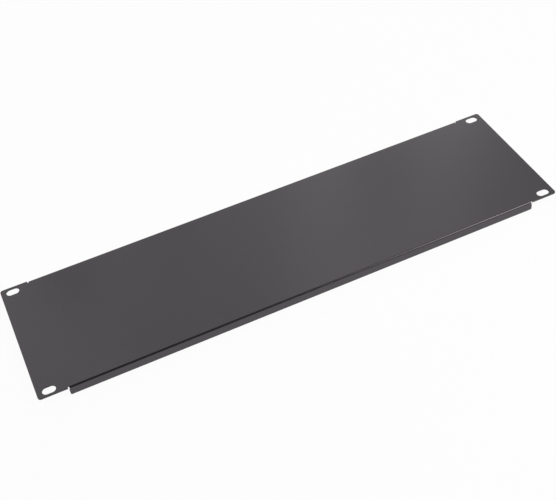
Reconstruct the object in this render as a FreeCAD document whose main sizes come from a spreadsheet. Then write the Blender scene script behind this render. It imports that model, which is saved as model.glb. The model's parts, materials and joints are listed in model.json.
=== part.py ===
"""Rack blanking panel, three rack units high, for 19-inch equipment racks.

One piece of painted sheet steel. The flat face has an ear at each end, with two slots
in each for the rack screws. Between the ears both long edges are folded to the rear as
stiffening flanges, and a relief is punched at each end of each fold.

The panel lies face up on the free edges of its flanges: +X runs along its length, +Y
across its height in the rack and +Z out of its front face. The origin is the middle of
its footprint. All lengths are in millimetres.
"""
import FreeCAD, Part
import math
import os
import Sketcher

NODE = "blanking_panel"

# Driving sizes: name, millimetres, what it measures.
SIZES = [
    ("panel_length", 486.0, "face, end to end over both ears"),
    ("panel_height", 132.5, "face, long edge to long edge"),
    ("sheet_gauge", 1.2, "thickness of the sheet"),
    ("flange_depth", 9.0, "front face to the free edge of a flange"),
    ("bend_radius", 0.4, "inside radius of a fold"),
    ("ear_length", 25.4, "end of the face to the end of a flange"),
    ("ear_corner_radius", 2.5, "corner of the face"),
    ("flange_corner_radius", 1.2, "free corner of a flange"),
    ("slot_from_end", 10.45, "end of the face to the middle of a slot"),
    ("slot_from_edge", 5.925, "long edge to the middle of a slot"),
    ("slot_length", 11.5, "slot, end to end along X"),
    ("slot_width", 7.2, "slot, side to side"),
    ("relief_width", 1.0, "bend relief, side to side along X"),
    ("relief_depth", 2.0, "long edge to the inner side of a relief"),
    ("relief_corner_radius", 0.3, "inner corner of a relief"),
    ("relief_bite", 0.5, "how far a relief cuts into the end of its flange"),
    ("relief_drop", 3.2, "front face to the lower end of that cut"),
]

# What a constraint calls the sketch's own origin and axes, and the points of an element.
ORIGIN = -1
ACROSS, UPRIGHT = -1, -2
START, END, CENTRE = 1, 2, 3


def make_sheet(doc):
    """Spreadsheet with one named cell for each driving size."""
    sheet = doc.addObject("Spreadsheet::Sheet", "sizes")
    for row, (name, value, meaning) in enumerate(SIZES, start=1):
        sheet.set("A%d" % row, name)
        sheet.set("B%d" % row, str(value))
        sheet.setAlias("B%d" % row, name)
        sheet.set("C%d" % row, meaning)
    doc.recompute()
    return sheet


def plane_of(body, role):
    """One of the body's own origin planes."""
    return next(plane for plane in body.Origin.OriginFeatures if plane.Role == role)


def new_sketch(body, name, role, height=None):
    """Sketch on an origin plane, lifted off it by an expression."""
    sketch = body.newObject("Sketcher::SketchObject", name)
    sketch.AttachmentSupport = [(plane_of(body, role), "")]
    sketch.MapMode = "FlatFace"
    if height:
        sketch.setExpression("AttachmentOffset.Base.z", height)
    return sketch


def line(sketch, start, end):
    """Straight side between two points."""
    ends = (FreeCAD.Vector(*start, 0), FreeCAD.Vector(*end, 0))
    return sketch.addGeometry(Part.LineSegment(*ends))


def arc(sketch, centre, radius, first, last):
    """Round stretch, counter-clockwise between two directions in degrees."""
    circle = Part.Circle(FreeCAD.Vector(*centre, 0), FreeCAD.Vector(0, 0, 1), radius)
    return sketch.addGeometry(Part.ArcOfCircle(circle, math.radians(first), math.radians(last)))


def hold(sketch, *terms):
    """Geometric constraint."""
    return sketch.addConstraint(Sketcher.Constraint(*terms))


def size(sketch, expression, *terms):
    """Dimension driven by the spreadsheet."""
    sketch.setExpression("Constraints[%d]" % hold(sketch, *terms), expression)


def fold_profile(body, sizes):
    """Section across the folded stretch: web, two bends and two flanges."""
    sketch = new_sketch(body, "fold_profile", "YZ_Plane")
    edge = sizes.panel_height / 2
    gauge, depth = sizes.sheet_gauge, sizes.flange_depth
    inner = sizes.bend_radius
    outer = inner + gauge
    bend = edge - outer
    spring = depth - outer

    far_outer = line(sketch, (edge, 0), (edge, spring))
    far_bend = arc(sketch, (bend, spring), outer, 0, 90)
    front = line(sketch, (bend, depth), (-bend, depth))
    near_bend = arc(sketch, (-bend, spring), outer, 90, 180)
    near_outer = line(sketch, (-edge, spring), (-edge, 0))
    near_foot = line(sketch, (-edge, 0), (gauge - edge, 0))
    near_inner = line(sketch, (gauge - edge, 0), (gauge - edge, spring))
    near_hollow = arc(sketch, (-bend, spring), inner, 90, 180)
    rear = line(sketch, (-bend, depth - gauge), (bend, depth - gauge))
    far_hollow = arc(sketch, (bend, spring), inner, 0, 90)
    far_inner = line(sketch, (edge - gauge, spring), (edge - gauge, 0))
    far_foot = line(sketch, (edge - gauge, 0), (edge, 0))

    hold(sketch, "Tangent", far_outer, END, far_bend, START)
    hold(sketch, "Tangent", far_bend, END, front, START)
    hold(sketch, "Tangent", front, END, near_bend, START)
    hold(sketch, "Tangent", near_bend, END, near_outer, START)
    hold(sketch, "Coincident", near_outer, END, near_foot, START)
    hold(sketch, "Coincident", near_foot, END, near_inner, START)
    hold(sketch, "Tangent", near_inner, END, near_hollow, END)
    hold(sketch, "Tangent", near_hollow, START, rear, START)
    hold(sketch, "Tangent", rear, END, far_hollow, END)
    hold(sketch, "Tangent", far_hollow, START, far_inner, START)
    hold(sketch, "Coincident", far_inner, END, far_foot, START)
    hold(sketch, "Coincident", far_foot, END, far_outer, START)
    for side in (front, rear, near_foot, far_foot):
        hold(sketch, "Horizontal", side)
    for side in (near_outer, near_inner, far_inner, far_outer):
        hold(sketch, "Vertical", side)
    hold(sketch, "Coincident", near_hollow, CENTRE, near_bend, CENTRE)
    hold(sketch, "Coincident", far_hollow, CENTRE, far_bend, CENTRE)
    hold(sketch, "Equal", near_hollow, far_hollow)
    hold(sketch, "PointOnObject", near_foot, START, ACROSS)
    hold(sketch, "Symmetric", near_foot, START, far_foot, END, UPRIGHT)

    size(sketch, "sizes.panel_height", "DistanceX", near_foot, START, far_foot, END, 2 * edge)
    size(sketch, "sizes.sheet_gauge", "DistanceX", near_foot, START, near_foot, END, gauge)
    size(sketch, "sizes.flange_depth", "DistanceY", ORIGIN, START, front, START, depth)
    size(sketch, "sizes.bend_radius", "Radius", near_hollow, inner)
    return sketch


def ear_outline(body, sizes):
    """Flat ear at the +X end, with its two outer corners rounded."""
    sketch = new_sketch(body, "ear_outline", "XY_Plane", "sizes.flange_depth - sizes.sheet_gauge")
    root = sizes.panel_length / 2 - sizes.ear_length
    end, edge = sizes.panel_length / 2, sizes.panel_height / 2
    radius = sizes.ear_corner_radius

    near_side = line(sketch, (root, -edge), (end - radius, -edge))
    near_corner = arc(sketch, (end - radius, radius - edge), radius, 270, 360)
    end_side = line(sketch, (end, radius - edge), (end, edge - radius))
    far_corner = arc(sketch, (end - radius, edge - radius), radius, 0, 90)
    far_side = line(sketch, (end - radius, edge), (root, edge))
    root_side = line(sketch, (root, edge), (root, -edge))

    hold(sketch, "Tangent", near_side, END, near_corner, START)
    hold(sketch, "Tangent", near_corner, END, end_side, START)
    hold(sketch, "Tangent", end_side, END, far_corner, START)
    hold(sketch, "Tangent", far_corner, END, far_side, START)
    hold(sketch, "Coincident", far_side, END, root_side, START)
    hold(sketch, "Coincident", root_side, END, near_side, START)
    hold(sketch, "Horizontal", near_side)
    hold(sketch, "Horizontal", far_side)
    hold(sketch, "Vertical", end_side)
    hold(sketch, "Symmetric", near_side, START, far_side, END, ACROSS)
    hold(sketch, "Equal", near_corner, far_corner)

    size(sketch, "sizes.ear_corner_radius", "Radius", far_corner, radius)
    size(sketch, "sizes.panel_height", "DistanceY", near_side, START, far_side, END, 2 * edge)
    size(sketch, "sizes.panel_length / 2", "DistanceX", ORIGIN, START, end_side, START, end)
    size(sketch, "sizes.panel_length / 2 - sizes.ear_length",
         "DistanceX", ORIGIN, START, near_side, START, root)
    return sketch


def slot_outline(body, sizes):
    """Round-ended screw slot in the far corner of the +X ear."""
    sketch = new_sketch(body, "slot_outline", "XY_Plane", "sizes.flange_depth")
    middle = sizes.panel_length / 2 - sizes.slot_from_end
    level = sizes.panel_height / 2 - sizes.slot_from_edge
    radius = sizes.slot_width / 2
    reach = sizes.slot_length / 2 - radius

    far_side = line(sketch, (middle + reach, level + radius), (middle - reach, level + radius))
    inner_end = arc(sketch, (middle - reach, level), radius, 90, 270)
    near_side = line(sketch, (middle - reach, level - radius), (middle + reach, level - radius))
    outer_end = arc(sketch, (middle + reach, level), radius, 270, 450)

    hold(sketch, "Tangent", far_side, END, inner_end, START)
    hold(sketch, "Tangent", inner_end, END, near_side, START)
    hold(sketch, "Tangent", near_side, END, outer_end, START)
    hold(sketch, "Tangent", outer_end, END, far_side, START)
    hold(sketch, "Horizontal", far_side)
    hold(sketch, "Equal", inner_end, outer_end)

    size(sketch, "sizes.slot_width / 2", "Radius", inner_end, radius)
    size(sketch, "sizes.slot_length - sizes.slot_width",
         "DistanceX", inner_end, CENTRE, outer_end, CENTRE, 2 * reach)
    size(sketch, "sizes.panel_length / 2 - sizes.slot_from_end"
         " + (sizes.slot_length - sizes.slot_width) / 2",
         "DistanceX", ORIGIN, START, outer_end, CENTRE, middle + reach)
    size(sketch, "sizes.panel_height / 2 - sizes.slot_from_edge",
         "DistanceY", ORIGIN, START, outer_end, CENTRE, level)
    return sketch


def relief_outline(body, sizes):
    """Notch at the +X end of the far fold, open past the long edge."""
    sketch = new_sketch(body, "relief_outline", "XY_Plane", "sizes.flange_depth")
    inner_x = sizes.panel_length / 2 - sizes.ear_length - sizes.relief_bite
    outer_x = inner_x + sizes.relief_width
    floor = sizes.panel_height / 2 - sizes.relief_depth
    outside = sizes.panel_height / 2 + sizes.relief_width
    radius = sizes.relief_corner_radius

    flange_side = line(sketch, (inner_x, outside), (inner_x, floor + radius))
    flange_corner = arc(sketch, (inner_x + radius, floor + radius), radius, 180, 270)
    inner_side = line(sketch, (inner_x + radius, floor), (outer_x - radius, floor))
    ear_corner = arc(sketch, (outer_x - radius, floor + radius), radius, 270, 360)
    ear_side = line(sketch, (outer_x, floor + radius), (outer_x, outside))
    mouth = line(sketch, (outer_x, outside), (inner_x, outside))

    hold(sketch, "Tangent", flange_side, END, flange_corner, START)
    hold(sketch, "Tangent", flange_corner, END, inner_side, START)
    hold(sketch, "Tangent", inner_side, END, ear_corner, START)
    hold(sketch, "Tangent", ear_corner, END, ear_side, START)
    hold(sketch, "Coincident", ear_side, END, mouth, START)
    hold(sketch, "Coincident", mouth, END, flange_side, START)
    hold(sketch, "Vertical", flange_side)
    hold(sketch, "Horizontal", inner_side)
    hold(sketch, "Vertical", ear_side)
    hold(sketch, "Horizontal", mouth)
    hold(sketch, "Equal", flange_corner, ear_corner)

    size(sketch, "sizes.relief_corner_radius", "Radius", flange_corner, radius)
    size(sketch, "sizes.relief_width",
         "DistanceX", mouth, END, mouth, START, sizes.relief_width)
    size(sketch, "sizes.panel_length / 2 - sizes.ear_length - sizes.relief_bite",
         "DistanceX", ORIGIN, START, flange_side, START, inner_x)
    size(sketch, "sizes.panel_height / 2 - sizes.relief_depth",
         "DistanceY", ORIGIN, START, inner_side, START, floor)
    size(sketch, "sizes.panel_height / 2 + sizes.relief_width",
         "DistanceY", ORIGIN, START, mouth, START, outside)
    return sketch


def mirrored(body, name, feature, *roles):
    """Copies of a feature mirrored in the body's origin planes, one plane after another."""
    pattern = body.newObject("PartDesign::MultiTransform", name)
    pattern.Originals = [feature]
    mirrors = []
    for role in roles:
        mirror = body.Document.addObject("PartDesign::Mirrored", name + "_" + role[:2])
        mirror.MirrorPlane = (plane_of(body, role), [""])
        mirrors.append(mirror)
    pattern.Transformations = mirrors
    pattern.Refine = True
    body.Tip = pattern
    return pattern


def flange_corner_edges(shape, sizes):
    """Names of the short edges at the free corners of the flanges."""
    end = sizes.panel_length / 2 - sizes.ear_length
    names = []
    for number, edge in enumerate(shape.Edges, start=1):
        middle = edge.CenterOfMass
        at_corner = abs(middle.z) < 1e-6 and abs(abs(middle.x) - end) < 1e-6
        if at_corner:
            names.append("Edge%d" % number)
    return names


def make_panel(doc, sizes):
    """The folded panel, as one PartDesign body."""
    body = doc.addObject("PartDesign::Body", NODE)

    channel = body.newObject("PartDesign::Pad", "folded_stretch")
    channel.Profile = fold_profile(body, sizes)
    channel.SideType = "Symmetric"
    channel.setExpression("Length", "sizes.panel_length - 2 * sizes.ear_length")

    ear = body.newObject("PartDesign::Pad", "ear")
    ear.Profile = ear_outline(body, sizes)
    ear.setExpression("Length", "sizes.sheet_gauge")
    mirrored(body, "both_ears", ear, "YZ_Plane")

    relief = body.newObject("PartDesign::Pocket", "bend_relief")
    relief.Profile = relief_outline(body, sizes)
    relief.setExpression("Length", "sizes.relief_drop")
    mirrored(body, "four_reliefs", relief, "XZ_Plane", "YZ_Plane")

    slot = body.newObject("PartDesign::Pocket", "screw_slot")
    slot.Profile = slot_outline(body, sizes)
    slot.setExpression("Length", "sizes.sheet_gauge")
    slots = mirrored(body, "four_slots", slot, "XZ_Plane", "YZ_Plane")

    doc.recompute()
    corners = body.newObject("PartDesign::Fillet", "flange_corners")
    corners.Base = (slots, flange_corner_edges(slots.Shape, sizes))
    corners.setExpression("Radius", "sizes.flange_corner_radius")
    body.Tip = corners
    return body


def check(doc, body):
    """Stop unless every object was computed and the panel is one valid solid."""
    for item in doc.Objects:
        if "Invalid" in item.State or "Error" in item.State:
            raise RuntimeError("%s: %s" % (item.Name, item.State))
        if item.TypeId == "Sketcher::SketchObject" and not item.FullyConstrained:
            raise RuntimeError("%s is not fully constrained" % item.Name)
    shape = body.Shape
    if shape.isNull() or not shape.isValid() or len(shape.Solids) != 1:
        raise RuntimeError("%s is not one valid solid" % body.Label)


def main():
    doc = FreeCAD.newDocument("rack_blanking_panel")
    sizes = make_sheet(doc)
    panel = make_panel(doc, sizes)
    doc.recompute()
    check(doc, panel)
    os.makedirs("parts", exist_ok=True)
    panel.Shape.exportStep("parts/%s.step" % panel.Label)


main()
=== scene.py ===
import json
import math

import bmesh
import bpy
from mathutils import Matrix, Vector


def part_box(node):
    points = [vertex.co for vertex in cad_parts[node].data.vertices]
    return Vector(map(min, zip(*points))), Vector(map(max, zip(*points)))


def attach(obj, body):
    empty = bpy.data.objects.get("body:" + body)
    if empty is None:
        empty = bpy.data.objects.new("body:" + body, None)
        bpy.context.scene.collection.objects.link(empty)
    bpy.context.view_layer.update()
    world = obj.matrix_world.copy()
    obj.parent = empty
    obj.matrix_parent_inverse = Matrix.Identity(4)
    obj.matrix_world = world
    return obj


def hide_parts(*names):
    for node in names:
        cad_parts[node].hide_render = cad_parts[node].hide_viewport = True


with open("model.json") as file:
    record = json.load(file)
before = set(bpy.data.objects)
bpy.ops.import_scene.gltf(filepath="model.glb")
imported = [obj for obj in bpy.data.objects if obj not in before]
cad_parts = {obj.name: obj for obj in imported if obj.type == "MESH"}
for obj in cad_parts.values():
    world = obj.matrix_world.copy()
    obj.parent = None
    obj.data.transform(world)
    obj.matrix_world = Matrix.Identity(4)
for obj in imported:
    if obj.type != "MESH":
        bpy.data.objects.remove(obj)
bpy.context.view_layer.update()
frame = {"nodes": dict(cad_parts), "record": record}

bl_info = {
    "name": "Rack blanking panel",
    "version": (1, 0, 0),
    "blender": (4, 5, 0),
    "location": "3D View > Sidebar > Sheet Metal",
    "description": "Folds, punches and powder coats a rack blanking panel, in a small studio",
    "category": "Object",
}

NODE = "blanking_panel"
BODY = "root"
COAT = "powder_coat"
MM = 0.001
WHITE = (1.0, 1.0, 1.0, 1.0)
BOTH_WAYS = (True, True, False)  # a mirror along the panel and across it
NEAR = 1e-6  # two points closer than this are the same point
SQUARE = math.radians(40)  # an edge that turns by more than this was cut, not folded
EAR_FACETS = 12
FLANGE_FACETS = 6
PUNCH_FACETS = 16
EDGE_FACETS = 3

# How much the fine ripples and the slow clouds of the coat change its colour and roughness.
RIPPLE_SHADE = 0.10
CLOUD_SHADE = 0.08
RIPPLE_ROUGHNESS = 0.08
CLOUD_ROUGHNESS = 0.04
NOISE_MEAN = 0.5

FLOOR_SIDE = 30.0

LOW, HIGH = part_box(NODE)
SCREWS = next(mount for mount in frame["record"]["mounts"] if mount["name"] == "rack_screws")
FLANGE_VERTICES = [v.co for v in frame["nodes"][NODE].data.vertices if v.co.z < HIGH.z / 2]
FLANGE_END = max(co.x for co in FLANGE_VERTICES)

# Softboxes: azimuth from the far long edge towards the right end and elevation, in degrees,
# then distance and side in metres, and brightness, at which 1 shows as white. The row at the
# back is what the face mirrors, and the front pair is what the right end of the fold mirrors.
SOFTBOXES = {
    "back_far_left": (-25, 45, 1.6, 0.7, 0.79),
    "back_left": (-12, 46, 1.6, 0.7, 0.38),
    "back_middle": (12, 46, 1.6, 0.7, 0.60),
    "back_right": (25, 45, 1.6, 0.7, 0.38),
    "back_far_right": (38, 45, 1.6, 0.7, 0.42),
    "back_end": (50, 45, 1.6, 0.7, 0.49),
    "back_low": (0, 22, 1.6, 0.7, 1.45),
    "back_low_right": (30, 22, 1.6, 0.7, 1.35),
    "front_middle": (141, 40, 1.3, 0.48, 3.3),
    "front_right": (131, 40, 1.3, 0.60, 4.7),
    "left_fill": (-85, 55, 1.6, 0.9, 2.2),
    "left_low": (-95, 22, 1.6, 0.9, 0.5),
    "right_fill": (85, 60, 1.6, 0.9, 0.8),
    "right_low": (95, 22, 1.6, 0.9, 0.5),
}


# ---------------------------------------------------------------- what a user would change


class PanelSizes(bpy.types.PropertyGroup):
    """Sizes of the folded panel that its outer box doesn't give."""

    gauge: bpy.props.FloatProperty(
        name="Gauge", description="Thickness of the coated sheet",
        default=HIGH.z - SCREWS["pos_m"][2], unit="LENGTH")
    bend_radius: bpy.props.FloatProperty(
        name="Bend radius", description="Inside radius of a fold",
        default=0.4 * MM, unit="LENGTH")
    bend_facets: bpy.props.IntProperty(
        name="Bend facets", description="Flats in the quarter turn of a fold",
        default=16, min=4)
    ear_corner: bpy.props.FloatProperty(
        name="Ear corner", description="Radius of the face's corners",
        default=2.5 * MM, unit="LENGTH")
    flange_corner: bpy.props.FloatProperty(
        name="Flange corner", description="Radius of the free corners of a flange",
        default=1.2 * MM, unit="LENGTH")
    relief_width: bpy.props.FloatProperty(
        name="Relief width", description="Width of the notch at the end of a fold",
        default=1.0 * MM, unit="LENGTH")
    relief_depth: bpy.props.FloatProperty(
        name="Relief depth", description="Long edge to the inner side of the notch",
        default=2.0 * MM, unit="LENGTH")
    relief_corner: bpy.props.FloatProperty(
        name="Relief corner", description="Radius of the notch's inner corners",
        default=0.3 * MM, unit="LENGTH")
    relief_bite: bpy.props.FloatProperty(
        name="Relief bite", description="How far the notch cuts into the end of its flange",
        default=0.5 * MM, unit="LENGTH")
    relief_drop: bpy.props.FloatProperty(
        name="Relief drop", description="Front face to the lower end of that cut",
        default=3.2 * MM, unit="LENGTH")
    edge_round: bpy.props.FloatProperty(
        name="Edge round", description="Radius that the coat leaves along a punched edge",
        default=0.22 * MM, unit="LENGTH")


class CoatLook(bpy.types.PropertyGroup):
    """Look of the powder coat."""

    colour: bpy.props.FloatVectorProperty(
        name="Colour", description="Colour of the powder",
        default=(0.0225, 0.0208, 0.0225), size=3, subtype="COLOR")
    roughness: bpy.props.FloatProperty(
        name="Roughness", description="Mean roughness of the coat",
        default=0.22, min=0.0, max=1.0, subtype="FACTOR")
    sheen: bpy.props.FloatProperty(
        name="Sheen", description="Strength of what the coat mirrors, 0.5 for plain plastic",
        default=0.72, min=0.0, max=1.0, subtype="FACTOR")
    sheen_tint: bpy.props.FloatVectorProperty(
        name="Sheen tint", description="Tint of what the coat mirrors",
        default=(1.0, 0.92, 1.0), size=3, subtype="COLOR")
    grain: bpy.props.FloatProperty(
        name="Grain", description="Width of the ripples that the melted powder leaves",
        default=0.9 * MM, unit="LENGTH")
    cloud: bpy.props.FloatProperty(
        name="Cloud", description="Width of the slow changes of shade",
        default=60.0 * MM, unit="LENGTH")
    grain_height: bpy.props.FloatProperty(
        name="Grain height", description="Height of those ripples",
        default=0.006 * MM, unit="LENGTH")


class StudioLook(bpy.types.PropertyGroup):
    """Camera, floor and room of the studio."""

    floor_colour: bpy.props.FloatVectorProperty(
        name="Floor", description="Colour of the floor",
        default=(0.9, 0.9, 0.9), size=3, subtype="COLOR")
    floor_white: bpy.props.FloatProperty(
        name="Floor white", description="Share of plain white in the floor where it is seen",
        default=0.95, min=0.0, max=1.0, subtype="FACTOR")
    room: bpy.props.FloatProperty(
        name="Room", description="Brightness of the room round the softboxes",
        default=0.02, min=0.0)
    light: bpy.props.FloatProperty(
        name="Light", description="Brightness of all the softboxes together",
        default=1.0, min=0.0)
    azimuth: bpy.props.FloatProperty(
        name="Azimuth", description="Turn of the camera round the panel, from the near long edge",
        default=math.radians(-18.932), unit="ROTATION")
    elevation: bpy.props.FloatProperty(
        name="Elevation", description="Height of the camera above the horizon",
        default=math.radians(45.321), unit="ROTATION")
    roll: bpy.props.FloatProperty(
        name="Roll", description="Turn of the camera about its own line of sight",
        default=math.radians(7.517), unit="ROTATION")
    distance: bpy.props.FloatProperty(
        name="Distance", description="Camera to the point of the face that it looks at",
        default=916.48 * MM, unit="LENGTH")
    aim: bpy.props.FloatVectorProperty(
        name="Aim", description="That point, from the middle of the face",
        default=(-7.13 * MM, -8.443 * MM), size=2, unit="LENGTH")
    lens: bpy.props.FloatProperty(
        name="Lens", description="Focal length in millimetres", default=67.214)


# ---------------------------------------------------------------- modelling helpers


def deselect():
    """Back to object mode, with nothing selected."""
    if bpy.context.object and bpy.context.object.mode != "OBJECT":
        bpy.ops.object.mode_set(mode="OBJECT")
    bpy.ops.object.select_all(action="DESELECT")


def choose(kind, wanted):
    """In edit mode, selects the vertices or edges that wanted() says yes to."""
    bpy.ops.mesh.select_mode(type=kind)
    bpy.ops.mesh.select_all(action="DESELECT")
    data = bpy.context.object.data
    mesh = bmesh.from_edit_mesh(data)
    for element in mesh.verts if kind == "VERT" else mesh.edges:
        if wanted(element):
            element.select = True
    mesh.select_flush_mode()
    bmesh.update_edit_mesh(data)


def middle(edge):
    """Point halfway along an edge."""
    return (edge.verts[0].co + edge.verts[1].co) / 2


def apply_modifier(piece, kind, **settings):
    """Adds a modifier, sets it and applies it."""
    modifier = piece.modifiers.new(kind.title(), kind)
    for name, value in settings.items():
        setattr(modifier, name, value)
    bpy.context.view_layer.objects.active = piece
    bpy.ops.object.modifier_apply(modifier=modifier.name)


def stretch(piece, scale):
    """Scales a new primitive and leaves its object at the origin, unturned and unscaled."""
    piece.scale = scale
    bpy.ops.object.transform_apply(location=True, rotation=True, scale=True)


# ---------------------------------------------------------------- the folded panel


def quarter_skin(sizes):
    """The +X +Y quarter of the outer skin: web, fold, flange and ear, as an open surface."""
    outer = sizes.bend_radius + sizes.gauge
    bend_line = HIGH.y - outer
    notch = FLANGE_END - sizes.relief_bite + sizes.relief_width / 2
    deselect()
    bpy.ops.mesh.primitive_plane_add(size=1.0, location=(HIGH.x / 2, bend_line / 2, HIGH.z))
    skin = bpy.context.object
    stretch(skin, (HIGH.x, bend_line, 1.0))
    bpy.ops.object.mode_set(mode="EDIT")
    for x in (FLANGE_END, notch):
        bpy.ops.mesh.select_all(action="SELECT")
        bpy.ops.mesh.bisect(plane_co=(x, 0, 0), plane_no=(1, 0, 0))

    def on_bend_line(edge):
        flat = all(abs(v.co.z - HIGH.z) < NEAR for v in edge.verts)
        return flat and all(abs(v.co.y - bend_line) < NEAR for v in edge.verts)

    choose("EDGE", lambda e: on_bend_line(e) and middle(e).x < FLANGE_END)
    bpy.ops.mesh.spin(steps=sizes.bend_facets, angle=math.pi / 2,
                      center=(0, bend_line, HIGH.z - outer), axis=(1, 0, 0))
    bpy.ops.mesh.extrude_region_move(TRANSFORM_OT_translate={"value": (0, 0, outer - HIGH.z)})
    choose("EDGE", lambda e: on_bend_line(e) and middle(e).x > notch)
    bpy.ops.mesh.extrude_region_move(TRANSFORM_OT_translate={"value": (0, outer, 0)})
    choose("EDGE", lambda e: on_bend_line(e) and middle(e).x > notch)
    bpy.ops.mesh.dissolve_edges(use_verts=True)
    choose("VERT", lambda v: (v.co - HIGH).length < NEAR)
    bpy.ops.mesh.bevel(offset=sizes.ear_corner, segments=EAR_FACETS, affect="VERTICES")
    choose("VERT", lambda v: abs(v.co.z) < NEAR and abs(v.co.x - FLANGE_END) < NEAR)
    bpy.ops.mesh.bevel(offset=sizes.flange_corner, segments=FLANGE_FACETS, affect="VERTICES")
    bpy.ops.mesh.select_all(action="SELECT")
    bpy.ops.mesh.normals_make_consistent(inside=False)
    bpy.ops.object.mode_set(mode="OBJECT")
    return skin


def punch(low, high, radius, rounded):
    """A punch between two corners, with the upright edges that rounded() picks made round."""
    deselect()
    bpy.ops.mesh.primitive_cube_add(size=1.0, location=(low + high) / 2)
    tool = bpy.context.object
    stretch(tool, high - low)
    bpy.ops.object.mode_set(mode="EDIT")
    choose("EDGE", lambda e: abs(e.verts[0].co.z - e.verts[1].co.z) > NEAR and rounded(middle(e)))
    bpy.ops.mesh.bevel(offset=radius, segments=PUNCH_FACETS, affect="EDGES")
    bpy.ops.mesh.select_all(action="SELECT")
    bpy.ops.mesh.remove_doubles(threshold=NEAR)
    bpy.ops.object.mode_set(mode="OBJECT")
    return tool


def slot_punch():
    """Punch for the screw slot of the +X +Y quarter."""
    dims = SCREWS["dims"]
    centre = Vector((dims["spacing_x_mm"], dims["spacing_y_mm"], 0)) * MM / 2
    half = Vector((dims["slot_length_mm"] / 2, dims["hole_r_mm"], 0)) * MM
    high = centre + half
    high.z = 2 * HIGH.z
    return punch(centre - half, high, half.y, lambda spot: True)


def relief_punch(sizes):
    """Punch for the notch at the end of the fold of the +X +Y quarter."""
    side = FLANGE_END - sizes.relief_bite
    low = Vector((side, HIGH.y - sizes.relief_depth, HIGH.z - sizes.relief_drop))
    high = Vector((side + sizes.relief_width, HIGH.y + sizes.relief_width, 2 * HIGH.z))
    return punch(low, high, sizes.relief_corner, lambda spot: spot.y < HIGH.y)


def join(pieces):
    """Makes several objects one."""
    deselect()
    for piece in pieces:
        piece.select_set(True)
    bpy.context.view_layer.objects.active = pieces[0]
    bpy.ops.object.join()
    return pieces[0]


def round_edges(panel, radius):
    """Rounds every punched edge, and shades the flats flat and the rounds smooth."""
    deselect()
    bpy.context.view_layer.objects.active = panel
    bpy.ops.object.mode_set(mode="EDIT")
    choose("EDGE", lambda e: e.is_convex and e.calc_face_angle() > SQUARE)
    bpy.ops.mesh.bevel(offset=radius, segments=EDGE_FACETS, affect="EDGES", clamp_overlap=False)
    bpy.ops.object.mode_set(mode="OBJECT")
    panel.select_set(True)
    bpy.ops.object.shade_smooth_by_angle(angle=SQUARE)
    apply_modifier(panel, "WEIGHTED_NORMAL", keep_sharp=True, weight=100)


def folded_panel(sizes):
    """The whole panel as one closed shell, with its slots, reliefs and rounded edges."""
    panel = quarter_skin(sizes)
    panel.name = panel.data.name = "folded_panel"
    apply_modifier(panel, "MIRROR", use_axis=BOTH_WAYS, merge_threshold=NEAR)
    apply_modifier(panel, "SOLIDIFY", thickness=sizes.gauge, offset=-1.0, use_even_offset=True)
    punches = join([slot_punch(), relief_punch(sizes)])
    apply_modifier(punches, "MIRROR", use_axis=BOTH_WAYS, use_mirror_merge=False)
    apply_modifier(panel, "BOOLEAN", operation="DIFFERENCE", solver="EXACT", object=punches)
    bpy.data.objects.remove(punches)
    round_edges(panel, sizes.edge_round)
    return panel


# ---------------------------------------------------------------- shader maths


class Flow:
    """A shader socket that can be used in Python expressions."""

    def __init__(self, graph, socket):
        self.graph = graph
        self.socket = socket

    def _maths(self, operation, first, second):
        values = {0: first, 1: second}
        return self.graph.node("ShaderNodeMath", {"operation": operation}, values)

    def __add__(self, other):
        return self._maths("ADD", self, other)

    def __radd__(self, other):
        return self._maths("ADD", other, self)

    def __sub__(self, other):
        return self._maths("SUBTRACT", self, other)

    def __rsub__(self, other):
        return self._maths("SUBTRACT", other, self)

    def __mul__(self, other):
        return self._maths("MULTIPLY", self, other)

    def __rmul__(self, other):
        return self._maths("MULTIPLY", other, self)


class Graph:
    """The node tree of a material or of the world."""

    def __init__(self, owner):
        owner.use_nodes = True
        self.tree = owner.node_tree
        self.tree.nodes.clear()

    def node(self, kind, settings=None, inputs=None, output=0):
        """Adds a node, sets it, fills its sockets with values or links, and gives one output."""
        node = self.tree.nodes.new(kind)
        for name, value in (settings or {}).items():
            setattr(node, name, value)
        for name, value in (inputs or {}).items():
            if isinstance(value, Flow):
                self.tree.links.new(value.socket, node.inputs[name])
            else:
                node.inputs[name].default_value = value
        return Flow(self, node.outputs[output]) if node.outputs else None


def powder_coat(look):
    """Satin powder coat: slow clouds of shade, and the ripples that melted powder sets into."""
    material = bpy.data.materials.new(COAT)
    graph = Graph(material)
    place = graph.node("ShaderNodeTexCoord", output="Object")

    def noise(width, detail):
        inputs = {"Vector": place, "Scale": 1 / width, "Detail": detail, "Roughness": 0.55}
        return graph.node("ShaderNodeTexNoise", None, inputs) - NOISE_MEAN

    ripple = noise(look.grain, detail=3.0)
    cloud = noise(look.cloud, detail=2.0)
    shade = 1 + ripple * RIPPLE_SHADE + cloud * CLOUD_SHADE
    colour = graph.node("ShaderNodeVectorMath", {"operation": "SCALE"},
                        {0: look.colour, "Scale": shade})
    bump = graph.node("ShaderNodeBump", None, {"Height": ripple, "Distance": look.grain_height})
    surface = graph.node("ShaderNodeBsdfPrincipled", None, {
        "Base Color": colour,
        "Roughness": look.roughness + ripple * RIPPLE_ROUGHNESS + cloud * CLOUD_ROUGHNESS,
        "Specular IOR Level": look.sheen,
        "Specular Tint": (*look.sheen_tint, 1.0),
        "Normal": bump,
    })
    graph.node("ShaderNodeOutputMaterial", None, {"Surface": surface})
    return material


# ---------------------------------------------------------------- studio


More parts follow.
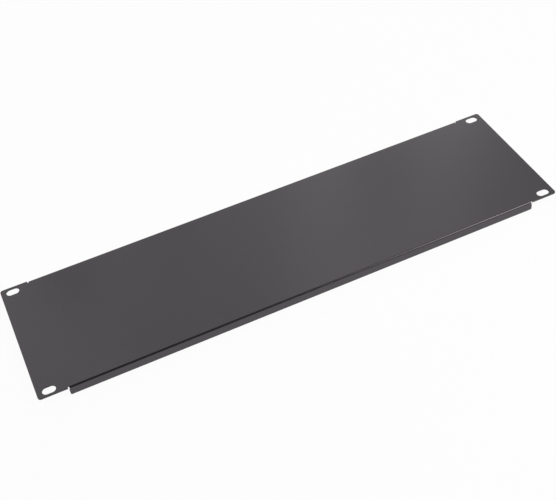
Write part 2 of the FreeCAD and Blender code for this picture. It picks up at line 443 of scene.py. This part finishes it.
def camera_turn(look):
    """Rotation of the camera, from its azimuth, elevation and roll."""
    turn = Matrix.Rotation(look.azimuth, 3, "Z")
    tilt = Matrix.Rotation(math.pi / 2 - look.elevation, 3, "X")
    roll = Matrix.Rotation(-look.roll, 3, "Z")
    return turn @ tilt @ roll


def add_camera(look):
    """Camera that looks down on the face from the near left."""
    turn = camera_turn(look)
    data = bpy.data.cameras.new("camera")
    data.lens = look.lens
    data.sensor_width = 36.0
    camera = bpy.data.objects.new("camera", data)
    aim = Vector((look.aim[0], look.aim[1], HIGH.z))
    place = aim + turn @ Vector((0, 0, look.distance))
    camera.matrix_world = Matrix.Translation(place) @ turn.to_4x4()
    bpy.context.scene.collection.objects.link(camera)
    bpy.context.scene.camera = camera


def shows_floor(graph):
    """1 where a ray comes from the camera, or from a gloss or glass that shows the floor."""
    outputs = ("Is Camera Ray", "Is Glossy Ray", "Is Transmission Ray")
    camera, glossy, glass = (graph.node("ShaderNodeLightPath", output=name) for name in outputs)
    return camera + glossy + glass


def add_floor(look):
    """White floor that keeps a faint shadow of the panel."""
    deselect()
    bpy.ops.mesh.primitive_plane_add(size=FLOOR_SIDE)
    floor = bpy.context.object
    floor.name = "floor"
    material = bpy.data.materials.new("floor")
    graph = Graph(material)
    matt = graph.node("ShaderNodeBsdfDiffuse", None, {"Color": (*look.floor_colour, 1.0)})
    white = graph.node("ShaderNodeEmission", None, {"Color": WHITE, "Strength": 1.0})
    surface = graph.node("ShaderNodeMixShader", None,
                         {0: shows_floor(graph) * look.floor_white, 1: matt, 2: white})
    graph.node("ShaderNodeOutputMaterial", None, {"Surface": surface})
    floor.data.materials.append(material)


def add_softbox(name, azimuth, elevation, distance, side, brightness):
    """Square softbox that faces the panel."""
    data = bpy.data.lights.new(name, "AREA")
    data.shape = "SQUARE"
    data.size = side
    data.energy = math.pi * side ** 2 * brightness
    lamp = bpy.data.objects.new(name, data)
    turn = Matrix.Rotation(math.radians(-azimuth), 3, "Z")
    tilt = Matrix.Rotation(math.radians(elevation), 3, "X")
    way = turn @ tilt @ Vector((0, 1, 0))
    place = Matrix.Translation(Vector((0, 0, HIGH.z)) + way * distance)
    lamp.matrix_world = place @ way.to_track_quat("Z", "Y").to_matrix().to_4x4()
    bpy.context.scene.collection.objects.link(lamp)


def add_world(look):
    """Dim grey room, so that the fold stays dark where it mirrors no softbox."""
    world = bpy.data.worlds.new("studio")
    bpy.context.scene.world = world
    graph = Graph(world)
    back = graph.node("ShaderNodeBackground", None, {"Color": WHITE, "Strength": look.room})
    graph.node("ShaderNodeOutputWorld", None, {"Surface": back})


# ---------------------------------------------------------------- operators


class SHEET_OT_folded_panel(bpy.types.Operator):
    """Models the panel from one sheet, folds it, punches it and coats it"""

    bl_idname = "sheet.folded_panel"
    bl_label = "Folded Panel"

    def execute(self, context):
        panel = folded_panel(context.scene.panel_sizes)
        panel.data.materials.clear()
        panel.data.materials.append(powder_coat(context.scene.coat_look))
        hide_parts(NODE)
        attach(panel, BODY)
        return {"FINISHED"}


class SHEET_OT_studio(bpy.types.Operator):
    """Adds the floor, the light and the camera"""

    bl_idname = "sheet.studio"
    bl_label = "Studio"

    def execute(self, context):
        look = context.scene.studio_look
        add_camera(look)
        add_floor(look)
        add_world(look)
        for name, (*place, side, brightness) in SOFTBOXES.items():
            add_softbox(name, *place, side, brightness * look.light)
        context.scene.view_settings.view_transform = "Standard"
        return {"FINISHED"}


class SHEET_PT_panel(bpy.types.Panel):
    """Lists the steps and their settings"""

    bl_idname = "SHEET_PT_panel"
    bl_label = "Blanking Panel"
    bl_space_type = "VIEW_3D"
    bl_region_type = "UI"
    bl_category = "Sheet Metal"

    def draw(self, context):
        for group in SETTINGS:
            settings = getattr(context.scene, group)
            box = self.layout.box()
            for name in settings.bl_rna.properties.keys():
                if name not in ("rna_type", "name"):
                    box.prop(settings, name)
        self.layout.operator(SHEET_OT_folded_panel.bl_idname)
        self.layout.operator(SHEET_OT_studio.bl_idname)


CLASSES = (PanelSizes, CoatLook, StudioLook,
           SHEET_OT_folded_panel, SHEET_OT_studio, SHEET_PT_panel)
SETTINGS = {"panel_sizes": PanelSizes, "coat_look": CoatLook, "studio_look": StudioLook}


def register():
    for item in CLASSES:
        bpy.utils.register_class(item)
    for name, group in SETTINGS.items():
        setattr(bpy.types.Scene, name, bpy.props.PointerProperty(type=group))


def unregister():
    for name in SETTINGS:
        delattr(bpy.types.Scene, name)
    for item in reversed(CLASSES):
        bpy.utils.unregister_class(item)


def main():
    register()
    bpy.ops.sheet.folded_panel()
    bpy.ops.sheet.studio()


if __name__ == "__main__":
    main()
